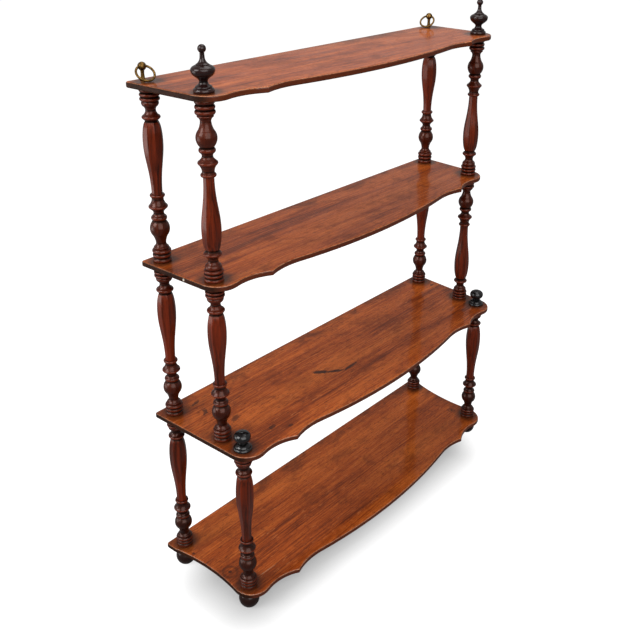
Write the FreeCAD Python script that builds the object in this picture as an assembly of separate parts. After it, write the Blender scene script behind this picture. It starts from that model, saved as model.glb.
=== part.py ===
import FreeCAD, Part
import math
import os
from FreeCAD import Vector

# A standing or hanging shelf of four serpentine boards on turned spindles.
# Millimetres. X runs along the boards, -Y is the front, +Z is up.
# The feet stand on Z = 0, and the origin is under the middle of the whole object.

# Posts, measured from the line of the rear posts
rear_post_spread = 817.6
upper_front_reach = 134.0
lower_front_reach = 186.0
side_taper = 0.066

# Boards
board_thickness = 11.0
side_overhang = 26.6
back_overhang = 28.0
board_round_over = 3.0
rear_corner_radius = 5.0
bottom_scoop_depth = 10.0
bottom_scoop_rear = 5.0
scoop_shoulder_radius = 18.0

# Serpentine front, measured from the front posts of its board
ear_forward = 36.0
ear_radius = 40.0
ear_hollow_radius = 97.0
cusp_inset = 98.0
cusp_forward = 47.5
front_hollow_inset = 147.0
front_hollow_radius = 145.0
crown_forward = 61.0

# Joinery: round tenons and dowels in sockets and through holes
tenon_diameter = 12.0
fit_clearance = 0.1
socket_depth = 20.0
socket_end_gap = 1.0
blind_hole_depth = 7.0
tenon_chamfer = 1.0

# Spindles, from the foot of the turning upwards. The vase takes the rest of the length.
spindle_length = 320.0
ring_flat_radius = 15.4
ring_groove_radius = 13.8
base_ring_count = 2
base_ring_rise = 8.5
base_ring_radius = 17.0
base_shoulder_rise = 9.0
base_shoulder_radius = 17.3
base_fillet_rise = 3.5
base_fillet_radius = 14.0
base_fillet_groove_radius = 12.6
lower_neck_rise = 7.5
lower_neck_flare_radius = 9.9
lower_neck_radius = 9.3
bulb_stem_rise = 14.0
bulb_stem_radius = 10.6
bulb_shoulder_radius = 13.4
bulb_rise = 29.0
bulb_radius = 17.9
bead_groove_radius = 11.2
bead_rise = 9.5
bead_radius = 14.4
cove_rise = 9.5
cove_radius = 9.4
lower_collar_flank_rise = 4.5
lower_collar_flank_radius = 13.3
lower_collar_rise = 5.5
lower_collar_edge_radius = 15.7
lower_collar_radius = 17.3
waist_rise = 15.0
waist_radius = 11.4
thin_ring_rise = 6.5
thin_ring_groove_radius = 11.0
thin_ring_radius = 13.6
upper_collar_flank_rise = 3.5
upper_collar_flank_radius = 12.6
upper_collar_rise = 6.0
upper_collar_edge_radius = 14.4
upper_collar_radius = 16.2
upper_neck_rise = 15.5
upper_neck_radius = 9.2
shoulder_foot_radius = 11.8
shoulder_rise = 9.5
shoulder_radius = 15.0
top_ring_count = 3
top_ring_rise = 7.5
top_ring_radius = 17.6

# The turner's hand differs from tier to tier: what the members below and above the vase take of those rises
lower_tier_base_share = 0.9
lower_tier_cap_share = 0.85
middle_tier_base_share = 0.94
middle_tier_cap_share = 0.94
upper_tier_base_share = 1.0
upper_tier_cap_share = 1.0

# How far a turned bead may swell before its arc turns elliptical, as the weight of its middle
fullest_weight = 0.2

# Eight-sided vase: distances from the axis to the flats, the belly's place along the vase,
# and how far each bend of its outline is drawn out
vase_sides = 8
vase_foot_apothem = 9.2
vase_belly_apothem = 16.9
vase_neck_apothem = 9.6
vase_belly_share = 0.72
vase_foot_draw = 0.5
vase_belly_draw = 0.35
vase_neck_draw = 0.55

# Feet
foot_height = 36.0
foot_neck_rise = 5.0
foot_neck_radius = 11.6
foot_collar_radius = 13.2
foot_radius = 20.8
foot_sole_radius = 14.5

# Tall finials. A draw is how far a curve runs along the axis at its low or high end, as a share of its rise.
finial_sole_radius = 16.4
finial_base_rise = 6.8
finial_base_radius = 17.4
finial_base_top_radius = 15.0
finial_step_rise = 1.0
finial_step_radius = 13.8
finial_step_top_radius = 13.9
finial_shoulder_rise = 3.4
finial_shoulder_radius = 13.5
finial_shoulder_top_radius = 11.0
finial_cove_rise = 6.0
finial_cove_draws = (0.0, 0.6)
finial_stem_radius = 7.05
finial_bowl_low_rise = 18.6
finial_bowl_low_draws = (0.35, 0.6)
finial_bowl_radius = 19.8
finial_bowl_high_rise = 7.8
finial_bowl_high_draws = (0.6, 0.0)
finial_bowl_rim_radius = 10.6
finial_cap_rim_rise = 1.3
finial_cap_rim_radius = 11.0
finial_cap_rise = 11.5
finial_cap_draws = (0.0, 0.62)
finial_cap_foot_radius = 9.8
finial_cap_top_radius = 4.05
finial_neck_rise = 6.4
finial_neck_radius = 3.85
finial_ball_radius = 6.9

# Ball knobs
knob_sole_radius = 16.4
knob_base_rise = 6.0
knob_base_radius = 17.8
knob_dome_rise = 6.6
knob_dome_foot_radius = 14.6
knob_dome_radius = 12.6
knob_neck_rise = 3.4
knob_neck_foot_radius = 7.0
knob_neck_radius = 6.6
knob_neck_top_radius = 7.4
knob_ball_rise = 19.5
knob_ball_radius = 16.0
knob_cap_rise = 1.6
knob_cap_foot_radius = 8.6
knob_cap_radius = 6.9
knob_button_rise = 1.8
knob_button_foot_radius = 3.2
knob_button_radius = 2.8

# Brass ring eyes, fitted by hand just outside the line of the rear posts, and hanging rings
left_eye_outset = 1.2
right_eye_outset = 7.5
eye_inset_from_back = 15.0
eye_sole_radius = 5.0
eye_flange_radius = 5.4
eye_flange_rise = 1.8
eye_post_foot_radius = 4.4
eye_post_waist_radius = 3.2
eye_post_radius = 3.7
eye_ball_radius = 7.5
eye_ball_height = 23.5
eye_hole_radius = 3.5
eye_shank_radius = 1.8
eye_shank_depth = 9.0
ring_centreline_radius = 16.0
ring_wire_radius = 2.1
ring_shelf_gap = 0.3
left_ring_heading = 260.0
right_ring_heading = 194.0

os.makedirs("parts", exist_ok=True)

# Levels of the boards' undersides, and the back-to-front place of the origin
tier_pitch = spindle_length + board_thickness
board_levels = [foot_height + tier * tier_pitch for tier in range(4)]
rear_line_y = (lower_front_reach + crown_forward - back_overhang) / 2

LEFT = -1
RIGHT = 1
SIDE_NAMES = {LEFT: "left", RIGHT: "right"}
UP = Vector(0, 0, 1)


def post_half_spread(reach):
    """Half the distance between the two posts that stand reach in front of the rear posts."""
    return rear_post_spread / 2 - side_taper * reach


def post_place(side, reach, level):
    """The axis point of one post at a level."""
    return Vector(side * post_half_spread(reach), rear_line_y - reach, level)


def bearing(degrees):
    """A level unit vector at an angle from +X."""
    return Vector(math.cos(math.radians(degrees)), math.sin(math.radians(degrees)), 0)


def save(name, shape):
    """Write one piece, after making sure that it is one sound solid."""
    if not shape.isValid() or len(shape.Solids) != 1:
        raise ValueError(f"{name} is not one sound solid")
    shape.Solids[0].exportStep(f"parts/{name}.step")


# Turned work


def member_curve(start, end, middle_radius):
    """A round curve between two points of a profile, through a radius half way up.

    It is a circular arc up to the fullest weight and elliptical beyond, so it never overhangs its ends.
    """
    middle = Vector(middle_radius, 0, (start.z + end.z) / 2)
    chord_middle = (start + end) / 2
    fullness = middle.sub(chord_middle).Length / (end.sub(start).Length / 2)
    weight = max((1 - fullness**2) / (1 + fullness**2), fullest_weight)
    pole = (middle * (1 + weight) - chord_middle) / weight
    curve = Part.BezierCurve()
    curve.setPoles([start, pole, end])
    curve.setWeight(2, weight)
    return curve.toShape()


def ogee_curve(start, end, low_draw, high_draw):
    """A curve between two points of a profile that runs along the axis at an end for the length of its draw.

    An end without a draw is free: the curve leaves it towards the bend of the other end.
    """
    rise = UP * (end.z - start.z)
    poles = [start]
    if low_draw:
        poles.append(start + rise * low_draw)
    if high_draw:
        poles.append(end - rise * high_draw)
    poles.append(end)
    curve = Part.BezierCurve()
    curve.setPoles(poles)
    return curve.toShape()


def turning(start_radius, members, level=0.0):
    """Revolve a profile.

    Each member is its rise, its radius half way up or the two draws of an ogee, and its radius at the end.
    """
    point = Vector(start_radius, 0, level)
    edges = [Part.makeLine(Vector(0, 0, level), point)]
    for rise, bend, end_radius in members:
        end = Vector(end_radius, 0, point.z + rise)
        if isinstance(bend, tuple):
            edges.append(ogee_curve(point, end, *bend))
        else:
            edges.append(member_curve(point, end, bend))
        point = end
    if point.x > 0:
        top = Vector(0, 0, point.z)
        edges.append(Part.makeLine(point, top))
        point = top
    edges.append(Part.makeLine(point, Vector(0, 0, level)))
    return Part.Face(Part.Wire(edges)).revolve(Vector(0, 0, 0), UP, 360)


def rise_of(members):
    """The height of a run of turned members."""
    return sum(member[0] for member in members)


def peg(length, low_end):
    """A round peg along +Z with both ends chamfered."""
    body = Part.makeCylinder(tenon_diameter / 2, length, Vector(0, 0, low_end))
    ends = [edge for edge in body.Edges if edge.Closed]
    return body.makeChamfer(tenon_chamfer, ends)


def socket(low_end, length):
    """The hole for a peg, with its clearance."""
    return Part.makeCylinder(tenon_diameter / 2 + fit_clearance, length, Vector(0, 0, low_end))


peg_in_socket = socket_depth - socket_end_gap


def spindle_rings(count, rise, radius, end_radius):
    """A stack of equal half-round rings with grooves between them."""
    return [(rise, radius, ring_groove_radius)] * (count - 1) + [(rise, radius, end_radius)]


def vase_corner(angle, low_end, length):
    """One corner line of the vase from foot to neck, as two smooth curves that meet at the belly."""
    outward = bearing(angle) / math.cos(math.pi / vase_sides)
    swell_rise = vase_belly_share * length
    fall_rise = length - swell_rise
    foot_end = outward * vase_foot_apothem + UP * low_end
    belly = outward * vase_belly_apothem + UP * (low_end + swell_rise)
    neck_end = outward * vase_neck_apothem + UP * (low_end + length)
    swell = Part.BezierCurve()
    swell.setPoles([
        foot_end,
        foot_end + UP * (vase_foot_draw * swell_rise),
        belly - UP * (vase_belly_draw * swell_rise),
        belly,
    ])
    fall = Part.BezierCurve()
    fall.setPoles([
        belly,
        belly + UP * (vase_neck_draw * fall_rise),
        neck_end + outward * (vase_neck_draw * (vase_belly_apothem - vase_neck_apothem)),
        neck_end,
    ])
    return [swell.toShape(), fall.toShape()]


def vase(low_end, length):
    """The faceted vase: flats between neighbouring corner lines, which curve only along their length."""
    step = 360 / vase_sides
    corners = [vase_corner((index + 0.5) * step, low_end, length) for index in range(vase_sides)]
    faces = []
    for corner, neighbour in zip(corners, corners[1:] + corners[:1]):
        faces += [Part.makeRuledSurface(line, next_line) for line, next_line in zip(corner, neighbour)]
    for ends in ([swell.firstVertex().Point for swell, fall in corners],
                 [fall.lastVertex().Point for swell, fall in corners]):
        faces.append(Part.Face(Part.makePolygon(ends + ends[:1])))
    shell = Part.makeShell(faces)
    shell.sewShape()
    return Part.makeSolid(shell)


def drawn_out(members, share):
    """The same run of turned members with every rise multiplied."""
    return [(rise * share, bend, end_radius) for rise, bend, end_radius in members]


def make_spindle(base_share, cap_share):
    """One spindle standing on Z = 0, with a socket in each end."""
    base = spindle_rings(base_ring_count, base_ring_rise, base_ring_radius, ring_groove_radius) + [
        (base_shoulder_rise, base_shoulder_radius, base_fillet_groove_radius),
        (base_fillet_rise, base_fillet_radius, base_fillet_groove_radius),
        (lower_neck_rise, lower_neck_flare_radius, lower_neck_radius),
        (bulb_stem_rise, bulb_stem_radius, bulb_shoulder_radius),
        (bulb_rise, bulb_radius, bead_groove_radius),
        (bead_rise, bead_radius, bead_groove_radius),
        (cove_rise, cove_radius, bead_groove_radius),
        (lower_collar_flank_rise, lower_collar_flank_radius, lower_collar_edge_radius),
        (lower_collar_rise, lower_collar_radius, lower_collar_edge_radius),
        (waist_rise, waist_radius, thin_ring_groove_radius),
        (thin_ring_rise, thin_ring_radius, thin_ring_groove_radius),
    ]
    cap = [
        (upper_collar_flank_rise, upper_collar_flank_radius, upper_collar_edge_radius),
        (upper_collar_rise, upper_collar_radius, upper_collar_edge_radius),
        (upper_neck_rise, upper_neck_radius, shoulder_foot_radius),
        (shoulder_rise, shoulder_radius, ring_groove_radius),
    ] + spindle_rings(top_ring_count, top_ring_rise, top_ring_radius, ring_flat_radius)
    base = drawn_out(base, base_share)
    cap = drawn_out(cap, cap_share)
    vase_low = rise_of(base)
    vase_high = spindle_length - rise_of(cap)
    base_body = turning(ring_flat_radius, base)
    cap_body = turning(thin_ring_groove_radius, cap, vase_high)
    body = base_body.fuse([vase(vase_low, vase_high - vase_low), cap_body])
    return body.cut([socket(0, socket_depth), socket(spindle_length - socket_depth, socket_depth)])


def make_foot():
    """A bun foot under the board at Z = 0, with a tenon up through the board into its spindle."""
    bun_rise = foot_height - foot_neck_rise
    members = [
        (bun_rise, foot_radius, foot_collar_radius),
        (foot_neck_rise, foot_neck_radius, foot_collar_radius),
    ]
    body = turning(foot_sole_radius, members, -foot_height)
    return body.fuse(peg(board_thickness + peg_in_socket, 0))


def make_finial():
    """A tall finial on the board at Z = 0, with a tenon down into the spindle below."""
    ball_low = math.sqrt(finial_ball_radius**2 - finial_neck_radius**2)
    members = [
        (finial_base_rise, finial_base_radius, finial_base_top_radius),
        (finial_step_rise, finial_step_radius, finial_step_top_radius),
        (finial_shoulder_rise, finial_shoulder_radius, finial_shoulder_top_radius),
        (finial_cove_rise, finial_cove_draws, finial_stem_radius),
        (finial_bowl_low_rise, finial_bowl_low_draws, finial_bowl_radius),
        (finial_bowl_high_rise, finial_bowl_high_draws, finial_bowl_rim_radius),
        (finial_cap_rim_rise, finial_cap_rim_radius, finial_cap_foot_radius),
        (finial_cap_rise, finial_cap_draws, finial_cap_top_radius),
        (finial_neck_rise, finial_neck_radius, finial_neck_radius),
    ]
    ball_centre = rise_of(members) + ball_low
    body = turning(finial_sole_radius, members)
    ball = Part.makeSphere(finial_ball_radius, Vector(0, 0, ball_centre))
    tenon_length = board_thickness + peg_in_socket
    return body.fuse([ball, peg(tenon_length, -tenon_length)])


def make_knob():
    """A ball knob on the board at Z = 0, with a tenon down into the spindle below."""
    members = [
        (knob_base_rise, knob_base_radius, knob_dome_foot_radius),
        (knob_dome_rise, knob_dome_radius, knob_neck_foot_radius),
        (knob_neck_rise, knob_neck_radius, knob_neck_top_radius),
        (knob_ball_rise, knob_ball_radius, knob_cap_foot_radius),
        (knob_cap_rise, knob_cap_radius, knob_button_foot_radius),
        (knob_button_rise, knob_button_radius, 0.0),
    ]
    tenon_length = board_thickness + peg_in_socket
    return turning(knob_sole_radius, members).fuse(peg(tenon_length, -tenon_length))


# Boards


def circle_meeting(first, first_reach, second, second_reach):
    """The forward one of the two points at given distances from two centres."""
    span = second.sub(first)
    along = (span.Length**2 + first_reach**2 - second_reach**2) / (2 * span.Length)
    across = math.sqrt(first_reach**2 - along**2)
    unit = span / span.Length
    aside = Vector(unit.y, -unit.x, 0)
    return first + unit * along + aside * across


def toward(start, end, distance):
    """The point at a distance from start in the direction of end."""
    span = end.sub(start)
    return start + span * (distance / span.Length)


def arc_about(centre, start, end):
    """The shorter arc from start to end about a centre."""
    radius = start.sub(centre).Length
    middle = toward(centre, (start + end) / 2, radius)
    return Part.Arc(start, middle, end).toShape()


def mirrored(point):
    """The same point on the other half of the board."""
    return Vector(-point.x, point.y, point.z)


def scoop_middle(ear_centre, shoulder_centre, rearward, outward, depth):
    """The centre of the hollow that runs smoothly from the ear to the shoulder behind it."""
    span = shoulder_centre.sub(ear_centre).dot(rearward)
    ear_share = (span + 2 * depth * (ear_radius - scoop_shoulder_radius) / span) / 2
    radius = (ear_share**2 + depth**2) / (2 * depth) - ear_radius
    return ear_centre + rearward * ear_share + outward * (ear_radius + radius - depth)


def board_outline(front_reach, scoop_depth):
    """The closed outline of a board: straight back, tapering sides and the serpentine front."""
    post_y = rear_line_y - front_reach
    post_x = post_half_spread(front_reach)
    back_y = rear_line_y + back_overhang
    lean = math.atan(side_taper)
    outward = Vector(math.cos(lean), -math.sin(lean), 0)
    rearward = Vector(math.sin(lean), math.cos(lean), 0)

    def on_side(y):
        """The point of the straight side at a depth."""
        edge = Vector(post_x, post_y, 0) + outward * side_overhang
        return edge + rearward * ((y - edge.y) / rearward.y)

    def rounding_centre(y, radius):
        """The centre of a rounding that the side runs into, at a depth."""
        return on_side(y) - Vector(radius / math.cos(lean), 0, 0)

    # The front half on the right, from the crown out to the ear
    ear_centre = rounding_centre(post_y - ear_forward + ear_radius, ear_radius)
    cusp = Vector(post_x - cusp_inset, post_y - cusp_forward, 0)
    hollow_drop = math.sqrt(front_hollow_radius**2 - (front_hollow_inset - cusp_inset) ** 2)
    front_hollow = Vector(post_x - front_hollow_inset, cusp.y - hollow_drop, 0)
    ear_hollow = circle_meeting(cusp, ear_hollow_radius, ear_centre, ear_radius + ear_hollow_radius)
    crown_y = post_y - crown_forward
    apex_above_hollow = crown_y - front_hollow.y
    across = front_hollow.x
    crown_radius = (across**2 + apex_above_hollow**2 - front_hollow_radius**2) / (
        2 * (front_hollow_radius - apex_above_hollow)
    )
    crown_centre = Vector(0, crown_y + crown_radius, 0)
    crown_end = toward(front_hollow, crown_centre, front_hollow_radius)
    ear_end = toward(ear_centre, ear_hollow, ear_radius)

    half = [
        arc_about(front_hollow, crown_end, cusp),
        arc_about(ear_hollow, cusp, ear_end),
    ]

    # The side, straight or scooped between the ear and a shoulder, and the rear corner
    corner_centre = rounding_centre(back_y - rear_corner_radius, rear_corner_radius)
    corner_low = corner_centre + outward * rear_corner_radius
    corner_high = Vector(corner_centre.x, back_y, 0)
    if scoop_depth > 0:
        shoulder_centre = rounding_centre(rear_line_y + bottom_scoop_rear, scoop_shoulder_radius)
        scoop_centre = scoop_middle(ear_centre, shoulder_centre, rearward, outward, scoop_depth)
        scoop_start = toward(ear_centre, scoop_centre, ear_radius)
        scoop_end = toward(shoulder_centre, scoop_centre, scoop_shoulder_radius)
        side_start = shoulder_centre + outward * scoop_shoulder_radius
        half += [
            arc_about(ear_centre, ear_end, scoop_start),
            arc_about(scoop_centre, scoop_start, scoop_end),
            arc_about(shoulder_centre, scoop_end, side_start),
        ]
    else:
        side_start = ear_centre + outward * ear_radius
        half.append(arc_about(ear_centre, ear_end, side_start))
    half += [
        Part.makeLine(side_start, corner_low),
        arc_about(corner_centre, corner_low, corner_high),
    ]
    other_half = [edge.mirror(Vector(0, 0, 0), Vector(1, 0, 0)) for edge in half]
    crown = Part.Arc(mirrored(crown_end), Vector(0, crown_y, 0), crown_end).toShape()
    back = Part.makeLine(mirrored(corner_high), corner_high)
    return Part.Wire(Part.__sortEdges__([crown, back] + half + other_half))


def make_board(front_reach, level, holes, scoop_depth=0.0):
    """One board with its underside at a level, its arrises eased, and its holes cut."""
    blank = Part.Face(board_outline(front_reach, scoop_depth)).extrude(Vector(0, 0, board_thickness))
    rims = [edge for edge in blank.Edges if abs(edge.BoundBox.ZLength) < board_thickness / 2]
    eased = blank.makeFillet(board_round_over, rims)
    eased.translate(Vector(0, 0, level))
    return eased.cut(holes)


# Brass fittings


def eye_place(side):
    """The point on the top board where a ring eye is screwed in."""
    return Vector(
        side * (rear_post_spread / 2 + (left_eye_outset if side == LEFT else right_eye_outset)),
        rear_line_y + back_overhang - eye_inset_from_back,
        board_levels[3] + board_thickness,
    )


ring_hang = math.sqrt(ring_centreline_radius**2 - eye_ball_radius**2)
ring_centre_offset = (ring_centreline_radius + ring_hang) / 2
ring_rest_lean = math.asin(
    (eye_ball_height - ring_wire_radius - ring_shelf_gap) / (ring_centre_offset + ring_centreline_radius)
)


def make_eye(side, heading):
    """A turned brass eye: shank, flange, tapering post and a ball bored for the ring."""
    post_top = eye_ball_height - math.sqrt(eye_ball_radius**2 - eye_post_radius**2)
    members = [
        (eye_flange_rise, eye_flange_radius, eye_post_foot_radius),
        (post_top - eye_flange_rise, eye_post_waist_radius, eye_post_radius),
    ]
    body = turning(eye_sole_radius, members)
    body = body.fuse([
        Part.makeSphere(eye_ball_radius, Vector(0, 0, eye_ball_height)),
        Part.makeCylinder(eye_shank_radius, eye_shank_depth, Vector(0, 0, -eye_shank_depth)),
    ])
    axis = bearing(heading - 90)
    start = Vector(0, 0, eye_ball_height) - axis * (2 * eye_ball_radius)
    body = body.cut(Part.makeCylinder(eye_hole_radius, 4 * eye_ball_radius, start, axis))
    body.translate(eye_place(side))
    return body


def make_ring(side, heading):
    """A hanging ring threaded through its eye, lying forward on the board."""
    pivot = eye_place(side) + UP * eye_ball_height
    lean = bearing(heading) * math.cos(ring_rest_lean) - UP * math.sin(ring_rest_lean)
    normal = bearing(heading - 90).cross(lean)
    return Part.makeTorus(ring_centreline_radius, ring_wire_radius, pivot + lean * ring_centre_offset, normal)


# Which pieces stand where

foot = make_foot()
finial = make_finial()
knob = make_knob()

TIERS = {
    "lower": (0, lower_front_reach, make_spindle(lower_tier_base_share, lower_tier_cap_share)),
    "middle": (1, upper_front_reach, make_spindle(middle_tier_base_share, middle_tier_cap_share)),
    "upper": (2, upper_front_reach, make_spindle(upper_tier_base_share, upper_tier_cap_share)),
}
INVERTED = {"spindle_middle_front_right", "spindle_upper_front_left", "spindle_upper_front_right"}

board_holes = {tier: [] for tier in range(4)}
dowel_top = board_thickness + peg_in_socket


def bore(tier, place, low=0.0, high=board_thickness):
    """Add a peg hole to a board, between two heights above its underside."""
    hole = socket(low, high - low)
    hole.translate(Vector(place.x, place.y, board_levels[tier]))
    board_holes[tier].append(hole)


def dowel(name, tier, place, below, above):
    """A loose dowel between two heights from a board's underside, seated on the floor of its lower hole."""
    piece = peg(above - below, below)
    piece.translate(Vector(place.x, place.y, board_levels[tier]))
    save(name, piece)


for side, side_name in SIDE_NAMES.items():
    for tier_name, (tier, front_reach, spindle) in TIERS.items():
        for depth_name, reach in (("rear", 0.0), ("front", front_reach)):
            name = f"spindle_{tier_name}_{depth_name}_{side_name}"
            piece = spindle.copy()
            if name in INVERTED:
                piece.rotate(Vector(0, 0, spindle_length / 2), Vector(1, 0, 0), 180)
            piece.translate(post_place(side, reach, board_levels[tier] + board_thickness))
            save(name, piece)

    # Feet under the bottom board
    for depth_name, reach in (("rear", 0.0), ("front", lower_front_reach)):
        place = post_place(side, reach, board_levels[0])
        piece = foot.copy()
        piece.translate(place)
        save(f"foot_{depth_name}_{side_name}", piece)
        bore(0, place)

    # Second board: ball knobs over the lower posts, dowels under the middle posts
    place = post_place(side, lower_front_reach, board_levels[1] + board_thickness)
    piece = knob.copy()
    piece.translate(place)
    save(f"knob_{side_name}", piece)
    bore(1, place)
    place = post_place(side, 0.0, 0.0)
    dowel(f"dowel_second_rear_{side_name}", 1, place, -socket_depth, dowel_top)
    bore(1, place)
    place = post_place(side, upper_front_reach, 0.0)
    blind_floor = board_thickness - blind_hole_depth
    dowel(f"dowel_second_front_{side_name}", 1, place, blind_floor, dowel_top)
    bore(1, place, blind_floor)

    # Third board: a dowel through it at every post
    for depth_name, reach in (("rear", 0.0), ("front", upper_front_reach)):
        place = post_place(side, reach, 0.0)
        dowel(f"dowel_third_{depth_name}_{side_name}", 2, place, -socket_depth, dowel_top)
        bore(2, place)

    # Top board: finials at the front, blind dowels and ring eyes at the back
    place = post_place(side, upper_front_reach, board_levels[3] + board_thickness)
    piece = finial.copy()
    piece.translate(place)
    save(f"finial_{side_name}", piece)
    bore(3, place)
    place = post_place(side, 0.0, 0.0)
    dowel(f"dowel_top_rear_{side_name}", 3, place, -socket_depth, blind_hole_depth - socket_end_gap)
    bore(3, place, 0.0, blind_hole_depth)
    heading = left_ring_heading if side == LEFT else right_ring_heading
    save(f"ring_eye_{side_name}", make_eye(side, heading))
    save(f"hanging_ring_{side_name}", make_ring(side, heading))
    pilot = Part.makeCylinder(eye_shank_radius + fit_clearance, eye_shank_depth)
    pilot.translate(eye_place(side) - UP * eye_shank_depth)
    board_holes[3].append(pilot)

for tier, (board_name, front_reach, scoop_depth) in enumerate([
    ("shelf_bottom", lower_front_reach, bottom_scoop_depth),
    ("shelf_second", lower_front_reach, 0.0),
    ("shelf_third", upper_front_reach, 0.0),
    ("shelf_top", upper_front_reach, 0.0),
]):
    save(board_name, make_board(front_reach, board_levels[tier], board_holes[tier], scoop_depth))
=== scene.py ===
import logging
import math
from dataclasses import dataclass, field
from enum import Enum
from typing import Any

import bpy
import numpy as np
from mathutils import Matrix, Vector


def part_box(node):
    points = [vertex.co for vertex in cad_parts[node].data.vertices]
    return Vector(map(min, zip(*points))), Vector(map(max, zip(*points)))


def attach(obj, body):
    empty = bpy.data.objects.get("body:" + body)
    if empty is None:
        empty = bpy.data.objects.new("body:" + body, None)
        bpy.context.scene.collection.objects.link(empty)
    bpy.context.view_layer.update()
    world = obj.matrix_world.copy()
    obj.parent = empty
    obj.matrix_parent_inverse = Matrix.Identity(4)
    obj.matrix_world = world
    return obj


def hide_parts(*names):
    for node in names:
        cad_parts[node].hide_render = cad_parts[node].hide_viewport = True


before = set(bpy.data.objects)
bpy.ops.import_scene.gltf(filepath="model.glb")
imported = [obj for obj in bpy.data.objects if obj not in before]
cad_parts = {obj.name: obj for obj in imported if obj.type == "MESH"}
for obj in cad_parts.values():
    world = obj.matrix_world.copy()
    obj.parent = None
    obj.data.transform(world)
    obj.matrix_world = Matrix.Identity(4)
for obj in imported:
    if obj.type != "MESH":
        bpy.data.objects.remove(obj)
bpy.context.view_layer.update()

# Dresses a turned wood wall shelf: four serpentine mahogany boards on twelve turned spindles.
# Metres, in the frame of the CAD model: X runs along the boards, -Y is the front, +Z is up.

log = logging.getLogger("wall_shelf")

MM = 0.001
SHELF_BODY = "shelf"
ALONG_BOARD = 0
ALONG_SPINDLE = 2

# Node kinds
MATH = "ShaderNodeMath"
MIX = "ShaderNodeMix"
RANGE = "ShaderNodeMapRange"
MAPPING = "ShaderNodeMapping"
NOISE = "ShaderNodeTexNoise"
BUMP = "ShaderNodeBump"
SPLIT = "ShaderNodeSeparateXYZ"
JOIN = "ShaderNodeCombineXYZ"
VECTOR_MATH = "ShaderNodeVectorMath"
SAMPLE = "GeometryNodeSampleIndex"
WHOLE = "FunctionNodeIntegerMath"
SMOOTH = {"interpolation_type": "SMOOTHSTEP"}

# Sockets of the mix node, which share their names: the share, two numbers, two colours and the mixed colour
SHARE = 0
NUMBER_A = 2
NUMBER_B = 3
COLOUR_A = 6
COLOUR_B = 7
COLOUR_OUT = 2

WHITE = (1.0, 1.0, 1.0, 1.0)
# So large a size that a mark reaches through the whole thickness of its board
FAR = 1e3
# A shift moves a pattern along X, Y and Z by different amounts, so that no two layers line up
SHIFT_SHARES = (1.0, 0.7, 1.3)
# CAD heights are read to 0.01 mm
HEIGHT_DIGITS = 2
# Points of the lathe's sheet that lie nearer than this become one
WELD = 0.01 * MM
# An edge that bends less than this is shaded smooth
CREASE = math.radians(20)

Socket = bpy.types.NodeSocket
Tree = bpy.types.NodeTree
Point = tuple[float, float, float]
# Where a change starts and ends in its measure, and the values before and after it
Passage = tuple[float, float, float, float]


class Side(Enum):
    """The two ends of the shelf."""

    LEFT = "left"
    RIGHT = "right"


class Depth(Enum):
    """The two rows of posts."""

    REAR = "rear"
    FRONT = "front"


class Tier(Enum):
    """The three storeys of spindles, from the floor up."""

    LOWER = "lower"
    MIDDLE = "middle"
    UPPER = "upper"


class Board(Enum):
    """The four boards, from the floor up."""

    BOTTOM = "bottom"
    SECOND = "second"
    THIRD = "third"
    TOP = "top"


def linear(colour: str) -> tuple[float, float, float, float]:
    """Turn an sRGB hex colour into linear light.

    Args:
        colour: a colour such as "#8a4a2b".

    Returns:
        Red, green, blue and an alpha of one.
    """
    shares = [int(colour[start:start + 2], 16) / 255 for start in (1, 3, 5)]
    # The sRGB curve: a straight foot, then a power
    light = [s / 12.92 if s <= 0.04045 else ((s + 0.055) / 1.055) ** 2.4 for s in shares]
    return (light[0], light[1], light[2], 1.0)


def add(tree: Tree, kind: str, inputs: Any = (), out: Any = 0, **settings: Any) -> Socket:
    """Add one node with its settings and links.

    Args:
        tree: the tree that gets the node.
        kind: the node's type name.
        inputs: values, or sockets to link from, in order or by the input's name or number.
        out: name or number of the output to return.
        settings: the node's own properties.

    Returns:
        That output of the new node.
    """
    node = tree.nodes.new(kind)
    for name, value in settings.items():
        setattr(node, name, value)
    for key, value in inputs.items() if isinstance(inputs, dict) else enumerate(inputs):
        if isinstance(value, Socket):
            tree.links.new(value, node.inputs[key])
        else:
            node.inputs[key].default_value = value
    return node.outputs[out]


@dataclass(frozen=True)
class Grain:
    """A pattern of noise, drawn out along one axis as wood is along its fibre. Sizes in millimetres."""

    along: float
    across: float
    axis: int = ALONG_BOARD
    detail: float = 3.0
    roughness: float = 0.55
    wander: float = 0.0
    shift: float = 0.0

    def draw(self, tree: Tree, place: Socket, further: float = 0.0) -> Socket:
        """Draw the pattern.

        Args:
            tree: the material's tree.
            place: Object coordinates.
            further: moves the pattern beyond its own shift, so that two boards differ.

        Returns:
            The pattern, from 0 to 1.
        """
        scale = [1 / (self.across * MM)] * 3
        scale[self.axis] = 1 / (self.along * MM)
        moved = [(further + self.shift) * share for share in SHIFT_SHARES]
        mapped = add(tree, MAPPING, {"Vector": place, "Location": moved, "Scale": scale})
        return add(tree, NOISE, {
            "Vector": mapped, "Scale": 1.0, "Detail": self.detail,
            "Roughness": self.roughness, "Distortion": self.wander,
        })


def coats(tree: Tree, base: Any, layers: list[tuple[Any, str]]) -> Socket:
    """Lay colours over each other, as stain, wax and wear do.

    Args:
        tree: the material's tree.
        base: the colour below.
        layers: how much of each layer shows, and its colour, from the lowest up.

    Returns:
        The colour that the eye sees.
    """
    for amount, over in layers:
        mixed = {SHARE: amount, COLOUR_A: base, COLOUR_B: linear(over)}
        base = add(tree, MIX, mixed, COLOUR_OUT, data_type="RGBA")
    return base


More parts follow.
